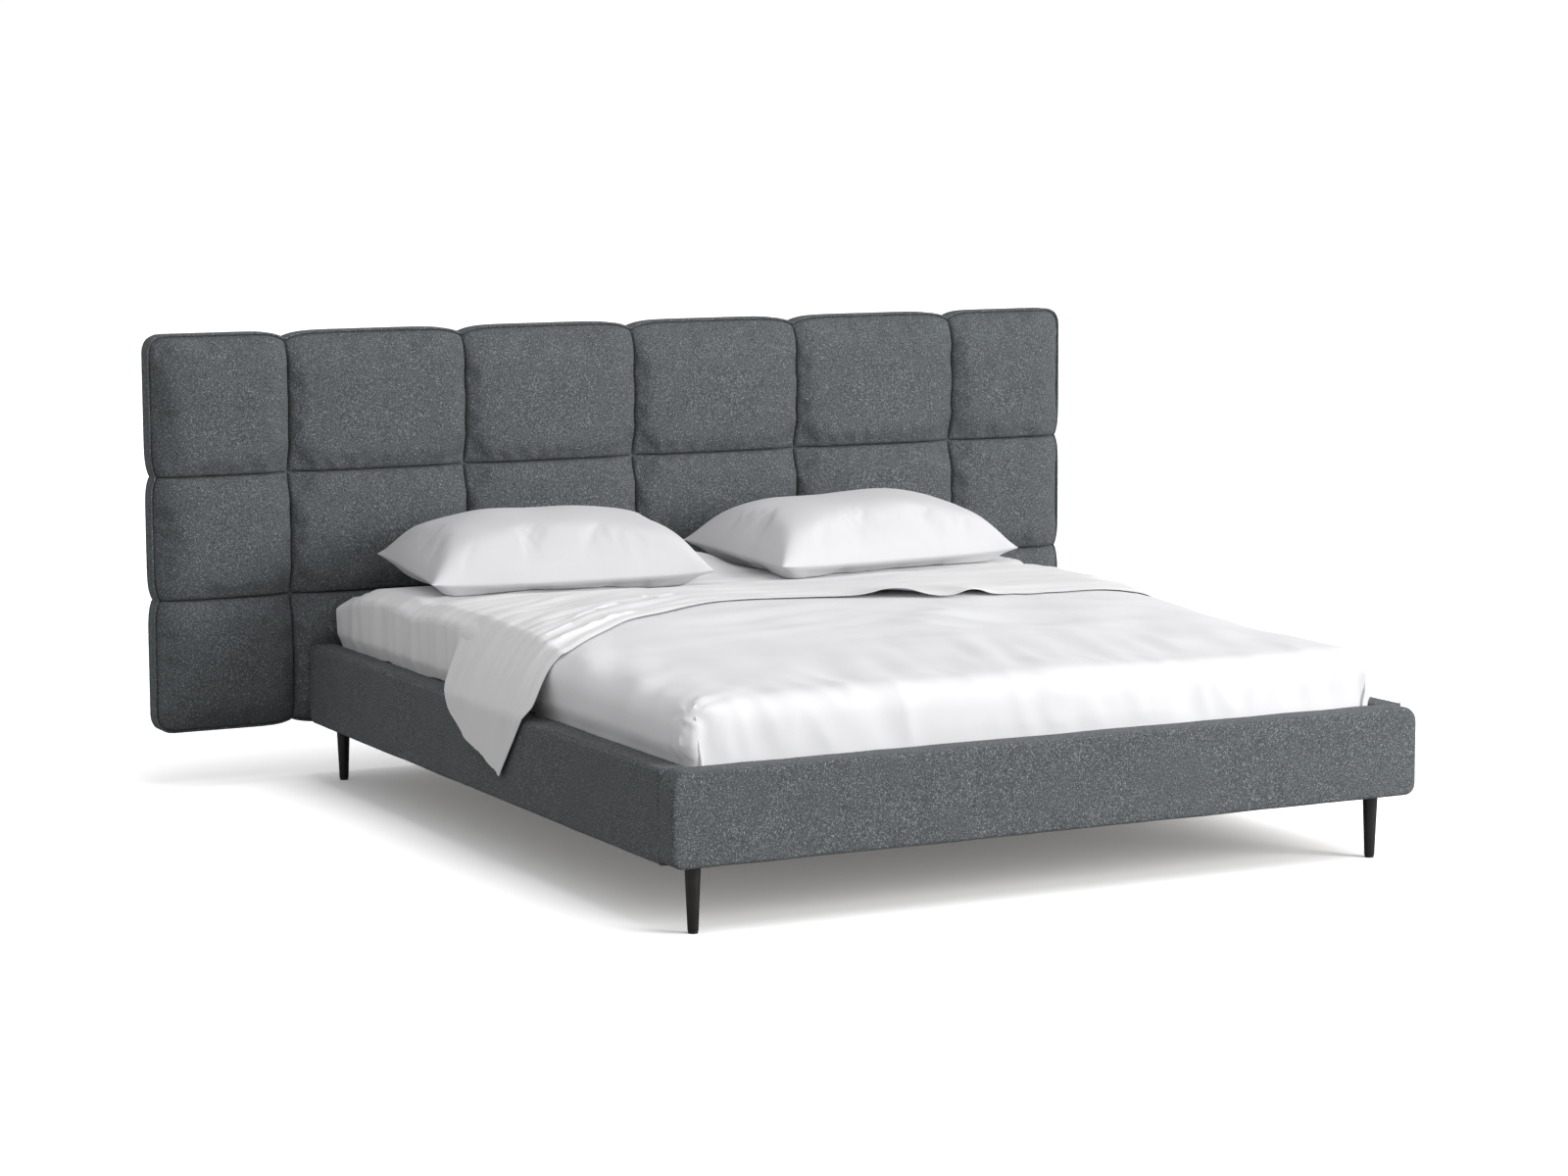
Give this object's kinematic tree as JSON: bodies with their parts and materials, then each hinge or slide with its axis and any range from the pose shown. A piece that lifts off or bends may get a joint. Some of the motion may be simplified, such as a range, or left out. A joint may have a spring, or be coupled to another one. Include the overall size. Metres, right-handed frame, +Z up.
{
  "type": "upholstered headboard bed",
  "caption": "Upholstered bed with a wide quilted grid headboard, low padded rails on tapered legs, a sprung slat base, a mattress and white bedding.",
  "frame": {"origin": "on the floor, under the middle of the whole bed's box", "axes": "+Z up; +Y from the foot rail towards the headboard; +X towards the bed's right side, seen from the foot"},
  "size_m": [2.512, 2.16, 1.085],
  "materials": {
    "upholstery": "matte",
    "dust_cloth": "matte",
    "plywood": "matte",
    "timber": "matte",
    "slat_ply": "satin",
    "holder_plastic": "matte",
    "glide_plastic": "matte",
    "plate_steel": "satin",
    "bolt_steel": "satin",
    "bracket_steel": "satin",
    "leg_lacquer": "satin",
    "ticking": "matte",
    "fitted_sheet_cotton": "matte",
    "duvet_cotton": "matte",
    "top_sheet_cotton": "matte",
    "pillow_cotton": "matte"
  },
  "bodies": {
    "bed_frame": {"beam_brackets": "bracket_steel", "centre_beam": "timber", "centre_leg": "leg_lacquer", "corner_bolts": "bolt_steel", "corner_brackets": "bracket_steel", "foot_rail_core": "timber", "foot_rail_cover": "upholstery", "head_rail": "timber", "headboard_back_cloth": "dust_cloth", "headboard_backing_board": "plywood", "headboard_bolts": "bolt_steel", "headboard_border": "upholstery", "headboard_bottom_rail": "timber", "headboard_brackets": "bracket_steel", "headboard_pad_r1_c1": "upholstery", "headboard_pad_r1_c2": "upholstery", "headboard_pad_r1_c3": "upholstery", "headboard_pad_r1_c4": "upholstery", "headboard_pad_r1_c5": "upholstery", "headboard_pad_r1_c6": "upholstery", "headboard_pad_r2_c1": "upholstery", "headboard_pad_r2_c2": "upholstery", "headboard_pad_r2_c3": "upholstery", "headboard_pad_r2_c4": "upholstery", "headboard_pad_r2_c5": "upholstery", "headboard_pad_r2_c6": "upholstery", "headboard_pad_r3_c1": "upholstery", "headboard_pad_r3_c2": "upholstery", "headboard_pad_r3_c3": "upholstery", "headboard_pad_r3_c4": "upholstery", "headboard_pad_r3_c5": "upholstery", "headboard_pad_r3_c6": "upholstery", "headboard_piping": "upholstery", "headboard_stile_left": "timber", "headboard_stile_right": "timber", "headboard_stud_left": "timber", "headboard_stud_right": "timber", "headboard_top_rail": "timber", "leg_front_left": "leg_lacquer", "leg_front_right": "leg_lacquer", "leg_glides": "glide_plastic", "leg_plates": "plate_steel", "leg_rear_left": "leg_lacquer", "leg_rear_right": "leg_lacquer", "leg_studs": "bolt_steel", "side_rail_left_core": "timber", "side_rail_left_cover": "upholstery", "side_rail_right_core": "timber", "side_rail_right_cover": "upholstery", "slat_holders": "holder_plastic", "slat_ledge_left": "timber", "slat_ledge_right": "timber", "slats_left": "slat_ply", "slats_right": "slat_ply"},
    "mattress": {"mattress": "ticking", "fitted_sheet": "fitted_sheet_cotton"},
    "duvet": {"duvet": "duvet_cotton"},
    "top_sheet": {"top_sheet": "top_sheet_cotton"},
    "pillow_left": {"pillow_left": "pillow_cotton"},
    "pillow_right": {"pillow_right": "pillow_cotton"}
  },
  "joints": [
    {"name": "mattress_lift", "type": "slide", "parent": "bed_frame", "child": "mattress", "axis": [0, 0, 1], "range_m": [0, 0.25]},
    {"name": "duvet_lift", "type": "slide", "parent": "mattress", "child": "duvet", "axis": [0, 0, 1], "range_m": [0, 0.25]},
    {"name": "top_sheet_lift", "type": "slide", "parent": "duvet", "child": "top_sheet", "axis": [0, 0, 1], "range_m": [0, 0.2]},
    {"name": "pillow_left_lift", "type": "slide", "parent": "top_sheet", "child": "pillow_left", "axis": [0, 0, 1], "range_m": [0, 0.2]},
    {"name": "pillow_right_lift", "type": "slide", "parent": "top_sheet", "child": "pillow_right", "axis": [0, 0, 1], "range_m": [0, 0.2]}
  ]
}
